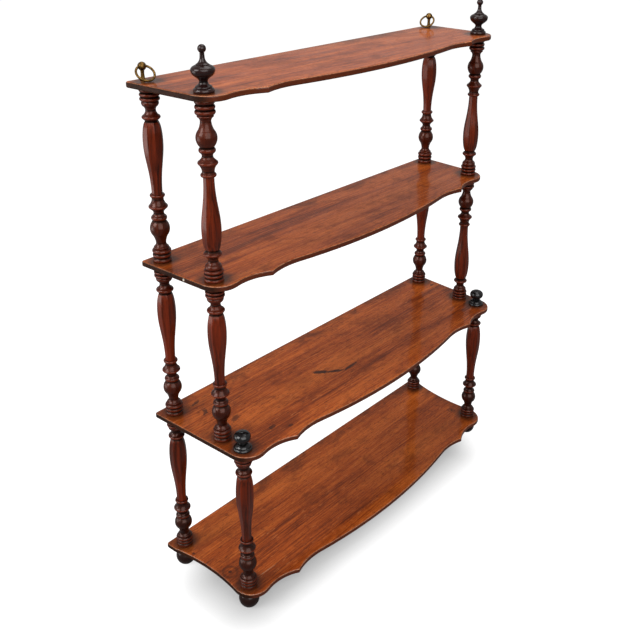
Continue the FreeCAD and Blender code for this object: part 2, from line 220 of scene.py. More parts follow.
def begin(name: str) -> tuple[bpy.types.Material, Tree, bpy.types.Node, Socket]:
    """Begin a material.

    Args:
        name: the material's name.

    Returns:
        The material, its tree, its shader and the Object coordinates.
    """
    material = bpy.data.materials.new(name)
    material.use_nodes = True
    tree = material.node_tree
    place = add(tree, "ShaderNodeTexCoord", out="Object")
    return material, tree, tree.nodes["Principled BSDF"], place


@dataclass(frozen=True)
class Mark:
    """A stain, bruise or chip on a board, as a soft ragged patch.

    Millimetres, from the middle between the rear posts, and degrees. A hollow mark is a ring at that share of
    its radius. A mark with a height shows only round its z, and one without it through the whole board.
    """

    x: float
    y: float
    length: float
    width: float
    turn: float = 0.0
    strength: float = 0.8
    hollow: float = 0.0
    fray: float = 1.0
    pale: bool = False
    z: float = 0.0
    height: float = 0.0


@dataclass(frozen=True)
class BoardFinish:
    """French polished mahogany: a planed board under thin rubbed shellac.

    The eye sees long reddish streaks under a clear gloss, with dark wax where nobody rubs: round the posts,
    along the back and at the ends, and painted shade round the posts. The front arris is rubbed pale and
    carries a painted highlight; the ends are dull, dark brown end grain, darkened further as painted shade.
    """

    board: Board
    posts: tuple[tuple[float, float], ...]
    rear_line: float
    shift: float
    marks: tuple[Mark, ...] = ()
    chips: tuple[Mark, ...] = ()

    pale: str = "#c46427"
    heart: str = "#a24817"
    dark: str = "#66290d"
    pore: str = "#3c1607"
    # Dark wax for the marks and the edges, also painted shade round the posts
    wax_and_shade: str = "#2a150c"
    # The rubbed pale arris, with a painted highlight
    worn_and_highlight: str = "#c58a66"
    # End grain, darkened further as painted shade
    end: str = "#170e0a"
    nose: str = "#4d2011"
    under: str = "#5d3a26"
    scuff: str = "#c79a76"
    sheen: str = "#cf7640"
    bare: str = "#e6d8c8"

    # Bands of heartwood 50 mm wide, streaks of 3 mm, and pores, drawn wider than real ones so that they show
    band: Grain = Grain(650, 50, detail=5.0, roughness=0.62, wander=0.7)
    streak: Grain = Grain(150, 3, detail=5.0, roughness=0.68, wander=0.25, shift=11)
    pores: Grain = Grain(12, 1.3, detail=2.0, shift=23)
    line: Grain = Grain(380, 2, detail=2.0, roughness=0.6, wander=0.15, shift=43)
    cloud: Grain = Grain(90, 50, detail=6.0, roughness=0.68, wander=0.5, shift=37)
    fleck: Grain = Grain(26, 5, detail=4.0, roughness=0.7, wander=0.6, shift=63)
    fray: Grain = Grain(8, 6, detail=4.0, roughness=0.7, shift=51)
    # The plane left long shallow waves
    wave: Grain = Grain(160, 45, detail=1.0, roughness=0.4, shift=71)
    band_share: float = 0.5
    figure_stops: tuple[float, float, float] = (0.385, 0.475, 0.585)

    pore_shows: Passage = (0.55, 0.68, 0.0, 0.7)
    line_shows: Passage = (0.6, 0.72, 0.0, 0.35)
    cloud_shows: Passage = (0.47, 0.66, 0.0, 0.55)
    fleck_shows: Passage = (0.60, 0.74, 0.0, 0.7)
    sheen_shows: Passage = (0.3, 0.43, 0.5, 0.0)
    frays: Passage = (0.3, 0.7, -0.25, 0.25)
    mark_fades: Passage = (0.5, 1.05, 1.0, 0.0)

    # Where the surface turns, by the normal: its ends, end grain darkened further as painted shade, its nose,
    # the rubbed arris with a painted highlight, and the underside
    end_turns: Passage = (0.5, 0.85, 0.0, 0.92)
    nose_turns: Passage = (0.45, 0.8, 0.0, 0.9)
    under_turns: Passage = (-0.8, -0.5, 0.75, 0.0)
    arris_rises: Passage = (0.42, 0.62, 0.0, 1.0)
    arris_levels: Passage = (0.72, 0.93, 1.0, 0.0)
    arris_faces: Passage = (-0.3, 0.0, 0.75, 0.3)
    arris_breaks: Passage = (0.36, 0.6, 0.25, 1.0)

    # Dark wax, in metres: towards the back edge, towards the ends and round the posts, where it is partly
    # painted shade
    back_waxes: Passage = (0.085, 0.137, 0.0, 0.6)
    ends_wax: Passage = (0.385, 0.435, 0.0, 0.5)
    post_wax_and_shade: Passage = (0.016, 0.042, 0.85, 0.0)
    halo_drifts: Passage = (0.3, 0.7, -0.008, 0.008)
    wax_clots: Passage = (0.38, 0.62, 0.25, 1.0)

    # Polish: glossy above, dull below and on the ends
    polish_thins: Passage = (0.0, 0.9, 0.42, 0.05)
    haze: Passage = (0.3, 0.7, 0.36, 0.5)
    end_dullness: float = 0.2
    coat_roughness: float = 0.1
    coat_index: float = 1.45
    base_gloss: float = 0.08
    wave_strength: float = 0.25
    wave_depth: float = 2.5 * MM
    pore_strength: float = 0.2
    pore_depth: float = 0.4 * MM

    def material(self) -> bpy.types.Material:
        """Build the board's own material.

        Returns:
            The French polished mahogany.
        """
        material, tree, shader, place = begin(f"french_polished_mahogany_{self.board.value}")
        band, streak, pore, cloud, line, fray, fleck = (
            grain.draw(tree, place, self.shift)
            for grain in (self.band, self.streak, self.pores, self.cloud, self.line, self.fray, self.fleck)
        )
        shares = {SHARE: self.band_share, NUMBER_A: streak, NUMBER_B: band}
        figure = add(tree, MIX, shares, data_type="FLOAT")
        ramp = add(tree, "ShaderNodeValToRGB", [figure])
        stops = ramp.node.color_ramp.elements
        stops.new(self.figure_stops[1])
        for stop, position, colour in zip(stops, self.figure_stops, (self.dark, self.heart, self.pale)):
            stop.position = position
            stop.color = linear(colour)

        x, y, z = add(tree, SPLIT, [add(tree, "ShaderNodeNewGeometry", out="Normal")]).node.outputs
        on_end = add(tree, RANGE, [add(tree, MATH, [x], operation="ABSOLUTE"), *self.end_turns], **SMOOTH)
        on_nose = add(tree, RANGE, [add(tree, MATH, [y], operation="ABSOLUTE"), *self.nose_turns], **SMOOTH)
        below = add(tree, RANGE, [z, *self.under_turns], **SMOOTH)
        arris = add(tree, RANGE, [z, *self.arris_rises], **SMOOTH)
        for measure, passage in ((z, self.arris_levels), (y, self.arris_faces), (fray, self.arris_breaks)):
            share = add(tree, RANGE, [measure, *passage], **SMOOTH)
            arris = add(tree, MATH, [arris, share], operation="MULTIPLY")

        layers = [
            (add(tree, RANGE, [pore, *self.pore_shows], **SMOOTH), self.pore),
            (add(tree, RANGE, [line, *self.line_shows], **SMOOTH), self.pore),
            (add(tree, RANGE, [cloud, *self.cloud_shows], **SMOOTH), self.dark),
            (add(tree, RANGE, [fleck, *self.sheen_shows], **SMOOTH), self.sheen),
            (add(tree, RANGE, [fleck, *self.fleck_shows], **SMOOTH), self.pore),
        ]
        for mark in self.marks:
            layers.append((self.patch(tree, place, fray, mark), self.scuff if mark.pale else self.wax_and_shade))
        layers += [
            # Dark wax along the back and the ends, and painted shade round the posts
            (self.darkening(tree, place, cloud), self.wax_and_shade),
            (on_nose, self.nose),
            # End grain darkened further as painted shade
            (on_end, self.end),
            # Rubbed pale arris with a painted highlight
            (arris, self.worn_and_highlight),
            (below, self.under),
        ]
        layers += [(self.patch(tree, place, fray, chip), self.bare) for chip in self.chips]
        tree.links.new(coats(tree, ramp, layers), shader.inputs["Base Color"])

        dull = add(tree, MATH, [below, on_end], operation="MAXIMUM")
        tree.links.new(add(tree, RANGE, [dull, *self.polish_thins]), shader.inputs["Coat Weight"])
        hazy = add(tree, RANGE, [cloud, *self.haze], **SMOOTH)
        rough = add(tree, MATH, [dull, self.end_dullness, hazy], operation="MULTIPLY_ADD")
        tree.links.new(rough, shader.inputs["Roughness"])
        shader.inputs["Coat Roughness"].default_value = self.coat_roughness
        shader.inputs["Coat IOR"].default_value = self.coat_index
        shader.inputs["Specular IOR Level"].default_value = self.base_gloss

        wave = self.wave.draw(tree, place, self.shift)
        waves = add(tree, BUMP, {"Strength": self.wave_strength, "Distance": self.wave_depth, "Height": wave})
        sunk = add(tree, MATH, [streak, pore], operation="SUBTRACT")
        grain = add(tree, BUMP, {
            "Strength": self.pore_strength, "Distance": self.pore_depth, "Height": sunk, "Normal": waves,
        })
        tree.links.new(grain, shader.inputs["Normal"])
        tree.links.new(waves, shader.inputs["Coat Normal"])
        return material

    def patch(self, tree: Tree, place: Socket, fray: Socket, mark: Mark) -> Socket:
        """Where one mark shows.

        Args:
            tree: the material's tree.
            place: Object coordinates.
            fray: noise that frays the mark's edge.
            mark: the mark.

        Returns:
            Its strength at the point.
        """
        local = add(tree, MAPPING, {
            "Vector": place,
            "Location": (mark.x * MM, mark.y * MM + self.rear_line, mark.z * MM),
            "Rotation": (0.0, 0.0, math.radians(mark.turn)),
            "Scale": (mark.length / 2 * MM, mark.width / 2 * MM, mark.height / 2 * MM or FAR),
        }, vector_type="TEXTURE")
        away = add(tree, VECTOR_MATH, [local], "Value", operation="LENGTH")
        if mark.hollow:
            away = add(tree, MATH, [away, mark.hollow], operation="SUBTRACT")
            away = add(tree, MATH, [away], operation="ABSOLUTE")
            away = add(tree, MATH, [away, 1 - mark.hollow], operation="DIVIDE")
        drift = add(tree, RANGE, [fray, *self.frays])
        frayed = add(tree, MATH, [drift, mark.fray, away], operation="MULTIPLY_ADD")
        shows = add(tree, RANGE, [frayed, *self.mark_fades], **SMOOTH)
        return add(tree, MATH, [shows, mark.strength], operation="MULTIPLY")

    def darkening(self, tree: Tree, place: Socket, cloud: Socket) -> Socket:
        """Dark wax round the posts, along the back edge and towards the ends, and painted shade round the
        posts.

        Args:
            tree: the material's tree.
            place: Object coordinates.
            cloud: noise that makes it uneven.

        Returns:
            Its strength at the point.
        """
        x, y, _ = add(tree, SPLIT, [place]).node.outputs
        aside = add(tree, MATH, [x], operation="ABSOLUTE")
        folded = add(tree, JOIN, [aside, y])
        back = add(tree, RANGE, [y, *self.back_waxes], **SMOOTH)
        ends = add(tree, RANGE, [aside, *self.ends_wax], **SMOOTH)
        clots = add(tree, RANGE, [cloud, *self.wax_clots], **SMOOTH)
        edges = add(tree, MATH, [back, ends], operation="MAXIMUM")
        total = add(tree, MATH, [edges, clots], operation="MULTIPLY")
        drift = add(tree, RANGE, [cloud, *self.halo_drifts])
        # Round each post the dark halo is partly painted shade
        for post in self.posts:
            away = add(tree, VECTOR_MATH, [folded, (*post, 0.0)], "Value", operation="DISTANCE")
            away = add(tree, MATH, [away, drift], operation="ADD")
            halo = add(tree, RANGE, [away, *self.post_wax_and_shade], **SMOOTH)
            total = add(tree, MATH, [total, halo], operation="MAXIMUM")
        return total


@dataclass(frozen=True)
class TurningFinish:
    """Turned and polished hardwood: shellac rubbed on in the lathe.

    The eye sees a dark wood with streaks along the piece, soft highlights on every ring, blackened wax with
    painted shade in the grooves and a redder, rubbed wood on the crests.
    """

    name: str
    heart: str
    pale: str
    # Dark wax for the fibres, the lower parts and the grooves, where it is also painted shade
    wax_and_shade: str
    crest: str
    vase: str = "#76260d"
    coat: float = 0.32
    coat_roughness: float = 0.14
    coat_index: float = 1.45
    base_index: float = 1.5
    base_gloss: float = 0.4
    gloss_tint: str = "#d58566"

    # Streaks 4 mm wide along the piece, fibres drawn wider than real ones, and slow changes between pieces
    streak: Grain = Grain(110, 4, ALONG_SPINDLE, 4.0, 0.62, 0.3, shift=3)
    fibre: Grain = Grain(26, 1.3, ALONG_SPINDLE, 2.0, shift=17)
    slow: Grain = Grain(170, 110, ALONG_SPINDLE, 1.0, shift=29)
    dents: Grain = Grain(22, 9, ALONG_SPINDLE, 2.0, shift=41)
    slow_share: float = 0.35
    vase_share: float = 0.75
    pale_shows: Passage = (0.32, 0.68, 0.0, 1.0)
    fibre_shows: Passage = (0.58, 0.72, 0.0, 0.3)
    crest_shows: Passage = (0.2, 0.9, 0.0, 0.6)
    # Grooves go near black: old wax with painted shade
    groove_shows: Passage = (0.06, 0.5, 0.0, 0.97)
    # Darker towards the floor, in metres
    darkening_rises: Passage = (0.04, 0.7, 0.72, 0.0)
    haze: Passage = (0.3, 0.7, 0.32, 0.4)
    groove_dullness: float = 0.25
    groove_polish: float = 0.2
    dent_strength: float = 0.03
    dent_depth: float = 0.8 * MM

    def material(self) -> bpy.types.Material:
        """Build the material.

        Returns:
            The turned finish.
        """
        material, tree, shader, place = begin(self.name)
        groove = add(tree, "ShaderNodeAttribute", out="Fac", attribute_name="groove")
        crest = add(tree, "ShaderNodeAttribute", out="Fac", attribute_name="crest")
        streak, fibre, slow, dents = (
            grain.draw(tree, place) for grain in (self.streak, self.fibre, self.slow, self.dents)
        )
        shares = {SHARE: self.slow_share, NUMBER_A: streak, NUMBER_B: slow}
        figure = add(tree, MIX, shares, data_type="FLOAT")
        flat = add(tree, "ShaderNodeAttribute", out="Fac", attribute_name="flat")
        pale = add(tree, RANGE, [figure, *self.pale_shows], **SMOOTH)
        reddened = add(tree, MATH, [flat, self.vase_share], operation="MULTIPLY")
        height = add(tree, SPLIT, [place], "Z")
        darkening = add(tree, RANGE, [height, *self.darkening_rises], **SMOOTH)
        rounded = add(tree, MATH, [1.0, flat], operation="SUBTRACT")
        darkening = add(tree, MATH, [darkening, rounded], operation="MULTIPLY")
        layers = [
            (pale, self.pale),
            (add(tree, MATH, [pale, reddened], operation="MULTIPLY"), self.vase),
            (darkening, self.wax_and_shade),
            (add(tree, RANGE, [fibre, *self.fibre_shows], **SMOOTH), self.wax_and_shade),
            (add(tree, RANGE, [crest, *self.crest_shows], **SMOOTH), self.crest),
            # Blackened wax with painted shade in the grooves
            (add(tree, RANGE, [groove, *self.groove_shows], **SMOOTH), self.wax_and_shade),
        ]
        tree.links.new(coats(tree, linear(self.heart), layers), shader.inputs["Base Color"])
        hazy = add(tree, RANGE, [slow, *self.haze])
        rough = add(tree, MATH, [groove, self.groove_dullness, hazy], operation="MULTIPLY_ADD")
        tree.links.new(rough, shader.inputs["Roughness"])
        polish = add(tree, RANGE, [groove, 0.0, 1.0, self.coat, self.coat * self.groove_polish])
        tree.links.new(polish, shader.inputs["Coat Weight"])
        shader.inputs["Coat Roughness"].default_value = self.coat_roughness
        shader.inputs["Coat IOR"].default_value = self.coat_index
        shader.inputs["Specular IOR Level"].default_value = self.base_gloss
        shader.inputs["IOR"].default_value = self.base_index
        shader.inputs["Specular Tint"].default_value = linear(self.gloss_tint)
        bump = add(tree, BUMP, {"Strength": self.dent_strength, "Distance": self.dent_depth, "Height": dents})
        tree.links.new(bump, shader.inputs["Normal"])
        tree.links.new(bump, shader.inputs["Coat Normal"])
        return material


@dataclass(frozen=True)
class BrassFinish:
    """Cast and filed brass, handled and aged: warm metal with brown tarnish, rubbed bright in patches."""

    name: str = "aged_cast_brass"
    bright: str = "#7a5c30"
    dull: str = "#4c381c"
    tarnish: str = "#2a1f12"
    # Rubbed patches of 7 mm, and file marks, drawn wider than real ones so that they show
    blotch: Grain = Grain(7, 7, detail=4.0, roughness=0.65, wander=0.5, shift=5)
    scratch: Grain = Grain(1.5, 1.5, detail=2.0, shift=13)
    bright_shows: Passage = (0.4, 0.62, 0.0, 1.0)
    tarnish_shows: Passage = (0.6, 0.75, 0.0, 0.25)
    haze: Passage = (0.35, 0.65, 0.46, 0.34)
    scratch_strength: float = 0.15
    scratch_depth: float = 0.2 * MM

    def material(self) -> bpy.types.Material:
        """Build the material.

        Returns:
            The aged brass.
        """
        material, tree, shader, place = begin(self.name)
        blotch = self.blotch.draw(tree, place)
        scratch = self.scratch.draw(tree, place)
        layers = [
            (add(tree, RANGE, [blotch, *self.bright_shows], **SMOOTH), self.bright),
            (add(tree, RANGE, [scratch, *self.tarnish_shows], **SMOOTH), self.tarnish),
        ]
        tree.links.new(coats(tree, linear(self.dull), layers), shader.inputs["Base Color"])
        tree.links.new(add(tree, RANGE, [blotch, *self.haze]), shader.inputs["Roughness"])
        shader.inputs["Metallic"].default_value = 1.0
        filed = {"Strength": self.scratch_strength, "Distance": self.scratch_depth, "Height": scratch}
        bump = add(tree, BUMP, filed)
        tree.links.new(bump, shader.inputs["Normal"])
        return material


@dataclass(frozen=True)
class DowelFinish:
    """Bare riven hardwood, shaved to a dowel: pale, dry and matt with a straight fibre."""

    name: str = "bare_dowel_wood"
    pale: str = "#a97f52"
    dark: str = "#7b5633"
    fibre: Grain = Grain(40, 1.2, ALONG_SPINDLE, roughness=0.6, shift=7)
    pale_shows: Passage = (0.35, 0.65, 0.0, 1.0)
    haze: Passage = (0.3, 0.7, 0.7, 0.85)
    fibre_strength: float = 0.2
    fibre_depth: float = 0.2 * MM

    def material(self) -> bpy.types.Material:
        """Build the material.

        Returns:
            The bare wood.
        """
        material, tree, shader, place = begin(self.name)
        fibre = self.fibre.draw(tree, place)
        layers = [(add(tree, RANGE, [fibre, *self.pale_shows], **SMOOTH), self.pale)]
        tree.links.new(coats(tree, linear(self.dark), layers), shader.inputs["Base Color"])
        tree.links.new(add(tree, RANGE, [fibre, *self.haze]), shader.inputs["Roughness"])
        riven = {"Strength": self.fibre_strength, "Distance": self.fibre_depth, "Height": fibre}
        bump = add(tree, BUMP, riven)
        tree.links.new(bump, shader.inputs["Normal"])
        return material


@dataclass
class Outline:
    """The half outline of a turned piece from its lower to its upper end, and the foot of its axis."""

    axis: Vector
    radius: np.ndarray
    height: np.ndarray
    flat: np.ndarray
    window: float = 5.0 * MM
    relief: float = 2.4 * MM
    samples: int = 4001

    @classmethod
    def of_node(cls, name: str, turning: "Turning") -> "Outline":
        """Read the outline off a CAD node.

        Args:
            name: the node.
            turning: what is known of this kind of piece.

        Returns:
            The outline, with corner radii on the faceted stretch.
        """
        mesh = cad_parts[name].data
        points = np.empty(len(mesh.vertices) * 3)
        mesh.vertices.foreach_get("co", points)
        low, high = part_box(name)
        axis = Vector(((low.x + high.x) / 2, (low.y + high.y) / 2, low.z))
        away = points.reshape(-1, 3) - np.array(axis)
        radius = np.hypot(away[:, 0], away[:, 1]) / MM
        height = np.round(away[:, 2] / MM, HEIGHT_DIGITS)

        # On the vase only the corners count, which lie half a side's angle from the X axis
        start, end = turning.flats_of(name)
        turn = np.arctan2(away[:, 1], away[:, 0]) * turning.sides / math.tau
        cornered = abs(turn - np.floor(turn) - 0.5) < turning.corner_share
        inside = (height > start) & (height < end)
        keep = (radius > turning.bore + turning.step) & (cornered | ~inside)

        # A level with two radii is a step, walked from the radius nearer to the last point
        levels: dict[float, list[float]] = {}
        for rise, reach in zip(height[keep], radius[keep]):
            levels.setdefault(float(rise), []).append(float(reach))
        line: list[tuple[float, float, float]] = []
        for rise in sorted(levels):
            inner, outer = min(levels[rise]), max(levels[rise])
            last = line[-1][0] if line else inner
            if rise in (start, end) and end > start:
                pair = [(outer, 0.0), (inner, 1.0)] if rise == start else [(inner, 1.0), (outer, 0.0)]
            else:
                facet = 1.0 if start < rise < end else 0.0
                pair = [(inner, facet), (outer, facet)]
                if abs(inner - last) > abs(outer - last):
                    pair.reverse()
            if outer - inner < turning.step:
                pair = pair[1:]
            for reach, facet in pair:
                level = line and rise - line[-1][1] < turning.step
                if not level or abs(reach - line[-1][0]) >= turning.step:
                    line.append((reach, rise, facet))
        values = np.array(line)
        return cls(axis, values[:, 0] * MM, values[:, 1] * MM, values[:, 2])

    def hollows(self, radius: np.ndarray) -> np.ndarray:
        """How deep each point lies between higher ones below and above it.

        Args:
            radius: the outline, or its negative for crests, at even heights.

        Returns:
            From 0 on open stretches to 1 at the relief's full depth.
        """
        width = int(self.window / self.height[-1] * len(radius))
        runs = np.lib.stride_tricks.sliding_window_view(np.pad(radius, width, mode="edge"), width + 1)
        highest = runs.max(axis=1)
        filled = np.minimum(highest[:len(radius)], highest[width:])
        return np.clip((filled - radius) / self.relief, 0.0, 1.0)

    def relief_shares(self) -> dict[str, np.ndarray]:
        """How far each point lies in a groove or stands on a crest.

        Returns:
            The attributes groove and crest, from 0 to 1.
        """
        even = np.linspace(0.0, self.height[-1], self.samples)
        radius = np.interp(even, self.height, self.radius)
        return {
            "groove": np.interp(self.height, even, self.hollows(radius)),
            "crest": np.interp(self.height, even, self.hollows(-radius)),
        }

    def mesh(self, name: str, bore: float, depth: float) -> bpy.types.Mesh:
        """Make the profile that the lathe tree turns, closed on the axis at both ends.

        Args:
            name: the mesh's name.
            bore: radius of the sockets in the ends, or 0 for closed ends.
            depth: depth of those sockets.

        Returns:
            A chain of edges with the point attributes flat, groove and crest.
        """
        top = float(self.height[-1])
        foot = float(self.height[0])
        first = [(0.0, foot + depth), (bore, foot + depth), (bore, foot)] if bore else [(0.0, foot)]
        last = [(bore, top), (bore, top - depth), (0.0, top - depth)] if bore else [(0.0, top)]
        chain = first + list(zip(self.radius.tolist(), self.height.tolist())) + last
        mesh = bpy.data.meshes.new(name)
        mesh.from_pydata([(reach, 0.0, rise) for reach, rise in chain],
                         [(index, index + 1) for index in range(len(chain) - 1)], [])
        for label, values in {"flat": self.flat, **self.relief_shares()}.items():
            padded = np.concatenate([np.zeros(len(first)), values, np.zeros(len(last))])
            mesh.attributes.new(label, "FLOAT", "POINT").data.foreach_set("value", padded.astype(np.float32))
        return mesh


@dataclass
class Turning:
    """Pieces turned on the lathe to one outline. Sizes are in millimetres."""

    names: tuple[str, ...]
    material: bpy.types.Material
    slot: str
    bore: float = 0.0
    depth: float = 0.0
    flats: tuple[float, float] = (0.0, 0.0)
    inverted: tuple[str, ...] = ()
    length: float = 0.0
    sides: int = 8
    segments: int = 64
    step: float = 0.35
    corner_share: float = 0.02
    softness: float = 0.012

    def flats_of(self, name: str) -> tuple[float, float]:
        """The heights between which one piece is faceted.

        Args:
            name: the piece.

        Returns:
            Its lower and upper height, turned over for an inverted piece.
        """
        if name in self.inverted:
            return (self.length - self.flats[1], self.length - self.flats[0])
        return self.flats

    def build(self, lathe: Tree) -> list[bpy.types.Object]:
        """Turn every piece and dress it.

        Args:
            lathe: the Geometry Nodes tree that turns a profile.

        Returns:
            The finished pieces.
        """
        return [self.turn(name, lathe) for name in self.names]

    def turn(self, name: str, lathe: Tree) -> bpy.types.Object:
        """Turn one piece in its place.

        Args:
            name: the CAD node that it stands for.
            lathe: the Geometry Nodes tree that turns a profile.

        Returns:
            The piece, baked to a plain mesh.
        """
        outline = Outline.of_node(name, self)
        profile = outline.mesh(f"{name}_profile", self.bore * MM, self.depth * MM)
        piece = bpy.data.objects.new(f"{name}_turned", profile)
        bpy.context.scene.collection.objects.link(piece)
        modifier = piece.modifiers.new("lathe", "NODES")
        modifier.node_group = lathe
        settings = {"Segments": self.segments, "Flats": self.sides, "Arris Softness": self.softness,
                    "Axis": outline.axis, "Finish": self.material}
        for item in lathe.interface.items_tree:
            if item.name in settings and item.in_out == "INPUT":
                modifier[item.identifier] = settings[item.name]
        seen = piece.evaluated_get(bpy.context.evaluated_depsgraph_get())
        baked = bpy.data.meshes.new_from_object(seen)
        piece.modifiers.clear()
        piece.data = baked
        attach(piece, SHELF_BODY)
        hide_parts(name)
        return piece


def lathe_tree() -> Tree:
    """Build the Geometry Nodes tree that turns a profile round its axis and cuts the flats of a vase.

    Returns:
        The tree, with the inputs Profile, Segments, Flats, Arris Softness, Axis and Finish.
    """
    tree = bpy.data.node_groups.new("turned_work", "GeometryNodeTree")
    kinds = {
        "Profile": "NodeSocketGeometry", "Segments": "NodeSocketInt", "Flats": "NodeSocketInt",
        "Arris Softness": "NodeSocketFloat", "Axis": "NodeSocketVector", "Finish": "NodeSocketMaterial",
    }
    for name, kind in kinds.items():
        tree.interface.new_socket(name=name, in_out="INPUT", socket_type=kind)
    tree.interface.new_socket(name="Piece", in_out="OUTPUT", socket_type="NodeSocketGeometry")
    given = add(tree, "NodeGroupInput").node.outputs

    # A sheet with one row for every point of the profile and one column for every segment
    rows = add(tree, "GeometryNodeAttributeDomainSize", [given["Profile"]], "Point Count", component="MESH")
    columns = add(tree, WHOLE, [given["Segments"], 1], operation="ADD")
    sheet = add(tree, "GeometryNodeMeshGrid", {"Vertices X": rows, "Vertices Y": columns})
    index = add(tree, "GeometryNodeInputIndex")
    row = add(tree, WHOLE, [index, columns], operation="DIVIDE_FLOOR")
    column = add(tree, WHOLE, [index, columns], operation="MODULO")
    position = add(tree, "GeometryNodeInputPosition")
    point = add(tree, SAMPLE, [given["Profile"], position, row], data_type="FLOAT_VECTOR")
    reach, _, rise = add(tree, SPLIT, [point]).node.outputs
    carried: dict[str, Socket] = {}
    for label in ("flat", "groove", "crest"):
        value = add(tree, "GeometryNodeInputNamedAttribute", [label], data_type="FLOAT")
        carried[label] = add(tree, SAMPLE, [given["Profile"], value, row], data_type="FLOAT")

    # The columns go round clockwise, so that the faces look outwards
    step = add(tree, MATH, [-math.tau, given["Segments"]], operation="DIVIDE")
    angle = add(tree, MATH, [column, step], operation="MULTIPLY")

    # On the vase the round is planed down to flats, and the arrises between them are rubbed soft
    half = add(tree, MATH, [math.pi, given["Flats"]], operation="DIVIDE")
    back = add(tree, MATH, [half, -1.0], operation="MULTIPLY")
    bend = add(tree, MATH, [angle, half, back], operation="WRAP")
    apothem = add(tree, MATH, [reach, add(tree, MATH, [half], operation="COSINE")], operation="MULTIPLY")
    planed = add(tree, MATH, [apothem, add(tree, MATH, [bend], operation="COSINE")], operation="DIVIDE")
    kept = add(tree, MATH, [1.0, given["Arris Softness"]], operation="SUBTRACT")
    rubbed = add(tree, MATH, [reach, kept], operation="MULTIPLY")
    faceted = add(tree, MATH, [planed, rubbed], operation="MINIMUM")
    shares = {SHARE: carried["flat"], NUMBER_A: reach, NUMBER_B: faceted}
    radius = add(tree, MIX, shares, data_type="FLOAT")
    across = add(tree, MATH, [radius, add(tree, MATH, [angle], operation="COSINE")], operation="MULTIPLY")
    deep = add(tree, MATH, [radius, add(tree, MATH, [angle], operation="SINE")], operation="MULTIPLY")
    local = add(tree, JOIN, [across, deep, rise])
    place = add(tree, VECTOR_MATH, [local, given["Axis"]], operation="ADD")
    shape = add(tree, "GeometryNodeSetPosition", {"Geometry": sheet, "Position": place})
    for label, value in carried.items():
        stored = {"Geometry": shape, "Name": label, "Value": value}
        shape = add(tree, "GeometryNodeStoreNamedAttribute", stored, data_type="FLOAT", domain="POINT")
    shape = add(tree, "GeometryNodeMergeByDistance", {"Geometry": shape, "Distance": WELD})
    bent = add(tree, "GeometryNodeInputMeshEdgeAngle", out="Unsigned Angle")
    gentle = add(tree, "FunctionNodeCompare", [bent, CREASE], data_type="FLOAT", operation="LESS_THAN")
    shaded = {"Geometry": shape, "Shade Smooth": gentle}
    shape = add(tree, "GeometryNodeSetShadeSmooth", shaded, domain="EDGE")
    shape = add(tree, "GeometryNodeRealizeInstances", {"Geometry": shape})
    shape = add(tree, "GeometryNodeSetMaterial", {"Geometry": shape, "Material": given["Finish"]})
    end = tree.nodes.new("NodeGroupOutput")
    tree.links.new(shape, end.inputs["Piece"])
    return tree


@dataclass
class TurnedWork:
    """All that comes off the lathe: spindles, feet, finials and knobs. Millimetres."""

    spindle_length: float = 320.0
    spindle_segments: int = 80
    vases: dict[Tier, tuple[float, float]] = field(default_factory=lambda: {
        Tier.LOWER: (117.45, 271.55), Tier.MIDDLE: (122.67, 266.42), Tier.UPPER: (130.5, 263.0),
    })
    socket_radius: float = 6.1
    socket_depth: float = 20.0
    inverted: tuple[str, ...] = (
        "spindle_middle_front_right", "spindle_upper_front_left", "spindle_upper_front_right",
    )

    def build(self) -> list[bpy.types.Object]:
        """Turn all the pieces.

        Returns:
            The finished pieces.
        """
        lathe = lathe_tree()
        red = TurningFinish(
            "polished_turned_mahogany", heart="#2a0b04", pale="#4a180a", wax_and_shade="#070202", crest="#662410",
        ).material()
        brown = TurningFinish(
            "dark_stained_turned_foot", heart="#2a0e07", pale="#3a150b", wax_and_shade="#0b0504", crest="#4c1d0e",
            coat=0.6, coat_roughness=0.11, coat_index=1.5, base_gloss=0.1,
        )
        black = TurningFinish(
            "ebonised_turned_wood", heart="#180908", pale="#240f0d", wax_and_shade="#070404", crest="#311611",
            coat=0.65, coat_roughness=0.19, coat_index=1.5, base_gloss=0.05,
        )
        jet = TurningFinish(
            "ebonised_turned_knob", heart="#0c0b0c", pale="#131113", wax_and_shade="#050505", crest="#1c1a1c",
            coat=0.85, coat_roughness=0.14, coat_index=1.5, base_gloss=0.05, gloss_tint="#dcdcdf",
        )
        work = [Turning(
            tuple(f"spindle_{tier.value}_{depth.value}_{side.value}" for depth in Depth for side in Side),
            red, "mahogany_turned", self.socket_radius, self.socket_depth, self.vases[tier], self.inverted,
            self.spindle_length, segments=self.spindle_segments,
        ) for tier in Tier]
        feet = tuple(f"foot_{depth.value}_{side.value}" for depth in Depth for side in Side)
        work += [
            Turning(feet, brown.material(), "dark_foot"),
            Turning(tuple(f"finial_{side.value}" for side in Side), black.material(), "ebonised"),
            Turning(tuple(f"knob_{side.value}" for side in Side), jet.material(), "ebonised"),
        ]
        return [piece for turning in work for piece in turning.build(lathe)]


